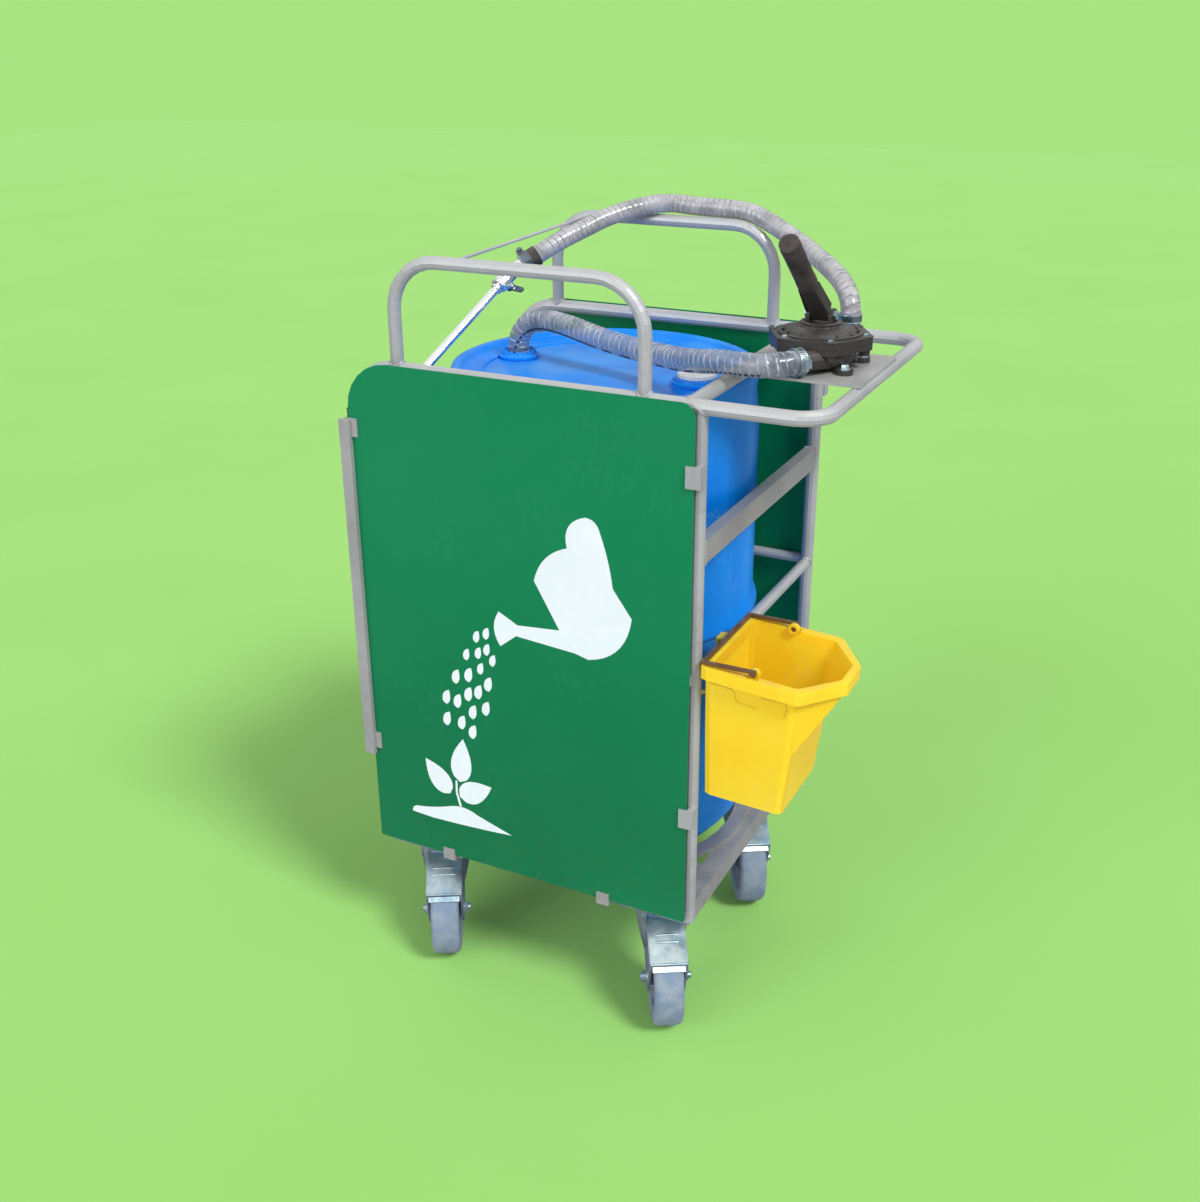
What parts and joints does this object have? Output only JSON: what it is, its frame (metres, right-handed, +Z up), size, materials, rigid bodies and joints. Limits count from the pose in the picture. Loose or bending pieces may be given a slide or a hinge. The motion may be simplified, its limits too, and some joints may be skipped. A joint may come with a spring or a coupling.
{
  "type": "watering trolley",
  "caption": "Watering trolley: tube frame on swivel castors with sheet side panels, an upright drum, a hand pump with hoses and a lance, and a hook-on bucket.",
  "frame": {"origin": "on the floor under the middle of the whole outline, with the wheels standing on z = 0", "axes": "+X towards the pump and the bucket, +Y across the trolley away from the viewer of the picture, +Z up"},
  "size_m": [0.807, 0.6016, 1.2845],
  "materials": {
    "frame_paint": "smooth silver-grey paint",
    "panel_sheet": "green painted sheet, satin",
    "drum_plastic": "blow-moulded, satin",
    "cap_plastic": "white, satin",
    "clear_hose": "clear ribbed, greyish",
    "zinc": "zinc plated",
    "black_casting": "black paint on casting",
    "black_rubber": "matt",
    "chrome": "polished",
    "bucket_plastic": "yellow, satin",
    "bail_plastic": "dark brown",
    "hub_plastic": "grey-blue",
    "tyre": "grey, non-marking"
  },
  "bodies": {
    "frame": {"main_rail": "frame_paint", "front_upright_near": "frame_paint", "front_upright_far": "frame_paint", "guard_loop_near": "frame_paint", "guard_loop_far": "frame_paint", "stay_rod": "frame_paint", "top_cross_tube": "frame_paint", "mid_cross_tube": "frame_paint", "drum_beam_front": "frame_paint", "drum_beam_rear": "frame_paint", "mid_rail_near": "frame_paint", "mid_rail_far": "frame_paint", "base_member_front": "frame_paint", "base_member_rear": "frame_paint", "base_side_near": "frame_paint", "base_side_far": "frame_paint", "drum_cradle": "frame_paint", "drum_seat_ring": "frame_paint", "clip_bar_near": "frame_paint", "clip_bar_far": "frame_paint", "pump_plate": "frame_paint", "panel_near": "panel_sheet", "panel_far": "panel_sheet", "drum": "drum_plastic", "suction_hose": "clear_hose", "discharge_hose": "clear_hose", "suction_clamp": "zinc", "discharge_clamp_pump": "zinc", "discharge_clamp_lance": "zinc", "pivot_pin": "zinc", "lance": "chrome", "lance_holder": "black_rubber", "pump_body": "black_casting", "pump_cover": "black_casting", "castor_plate_front_near": "zinc", "castor_plate_front_far": "zinc", "castor_plate_rear_near": "zinc", "castor_plate_rear_far": "zinc"},
    "lever": {"pump_lever": "black_casting", "lever_grip": "black_rubber"},
    "bucket": {"bucket": "bucket_plastic"},
    "bail": {"bail": "bail_plastic"},
    "valve_lever": {"valve_lever": "zinc"},
    "bung_cap": {"bung_cap": "cap_plastic"},
    "castor_front_near": {"castor_fork_front_near": "zinc", "castor_axle_front_near": "zinc"},
    "wheel_front_near": {"castor_hub_front_near": "hub_plastic", "castor_tyre_front_near": "tyre"},
    "castor_front_far": {"castor_fork_front_far": "zinc", "castor_axle_front_far": "zinc"},
    "wheel_front_far": {"castor_hub_front_far": "hub_plastic", "castor_tyre_front_far": "tyre"},
    "castor_rear_near": {"castor_fork_rear_near": "zinc", "castor_axle_rear_near": "zinc"},
    "wheel_rear_near": {"castor_hub_rear_near": "hub_plastic", "castor_tyre_rear_near": "tyre"},
    "castor_rear_far": {"castor_fork_rear_far": "zinc", "castor_axle_rear_far": "zinc"},
    "wheel_rear_far": {"castor_hub_rear_far": "hub_plastic", "castor_tyre_rear_far": "tyre"}
  },
  "joints": [
    {"name": "swivel_front_near", "type": "hinge", "parent": "frame", "child": "castor_front_near", "pos_m": [0.1122, -0.1755, 0.19], "axis": [0, 0, 1], "continuous": true},
    {"name": "roll_front_near", "type": "hinge", "parent": "castor_front_near", "child": "wheel_front_near", "pos_m": [0.13953, -0.22323, 0.08], "axis": [0.8678, 0.497, 0], "continuous": true},
    {"name": "swivel_front_far", "type": "hinge", "parent": "frame", "child": "castor_front_far", "pos_m": [0.1122, 0.2065, 0.19], "axis": [0, 0, 1], "continuous": true},
    {"name": "roll_front_far", "type": "hinge", "parent": "castor_front_far", "child": "wheel_front_far", "pos_m": [0.13953, 0.15877, 0.08], "axis": [0.8678, 0.497, 0], "continuous": true},
    {"name": "swivel_rear_near", "type": "hinge", "parent": "frame", "child": "castor_rear_near", "pos_m": [-0.3152, -0.1755, 0.19], "axis": [0, 0, 1], "continuous": true},
    {"name": "roll_rear_near", "type": "hinge", "parent": "castor_rear_near", "child": "wheel_rear_near", "pos_m": [-0.28787, -0.22323, 0.08], "axis": [0.8678, 0.497, 0], "continuous": true},
    {"name": "swivel_rear_far", "type": "hinge", "parent": "frame", "child": "castor_rear_far", "pos_m": [-0.3152, 0.2065, 0.19], "axis": [0, 0, 1], "continuous": true},
    {"name": "roll_rear_far", "type": "hinge", "parent": "castor_rear_far", "child": "wheel_rear_far", "pos_m": [-0.28787, 0.15877, 0.08], "axis": [0.8678, 0.497, 0], "continuous": true},
    {"name": "lever_pivot", "type": "hinge", "parent": "frame", "child": "lever", "pos_m": [0.2725, -0.0045, 1.152], "axis": [1, 0, 0], "range_deg": [-45, 28]},
    {"name": "bucket_lift", "type": "slide", "parent": "frame", "child": "bucket", "axis": [0, 0, 1], "range_m": [0, 0.06]},
    {"name": "bail_hinge", "type": "hinge", "parent": "bucket", "child": "bail", "pos_m": [0.2805, -0.1595, 0.6815], "axis": [0, 1, 0], "range_deg": [0, 120]},
    {"name": "valve_turn", "type": "hinge", "parent": "frame", "child": "valve_lever", "pos_m": [-0.28486, 0.06231, 1.13533], "axis": [0.134, 0.5416, -0.8299], "range_deg": [0, 90]},
    {"name": "cap_turn", "type": "hinge", "parent": "frame", "child": "bung_cap", "pos_m": [0.0835, -0.0115, 1.0408], "axis": [0, 0, 1], "continuous": true}
  ]
}
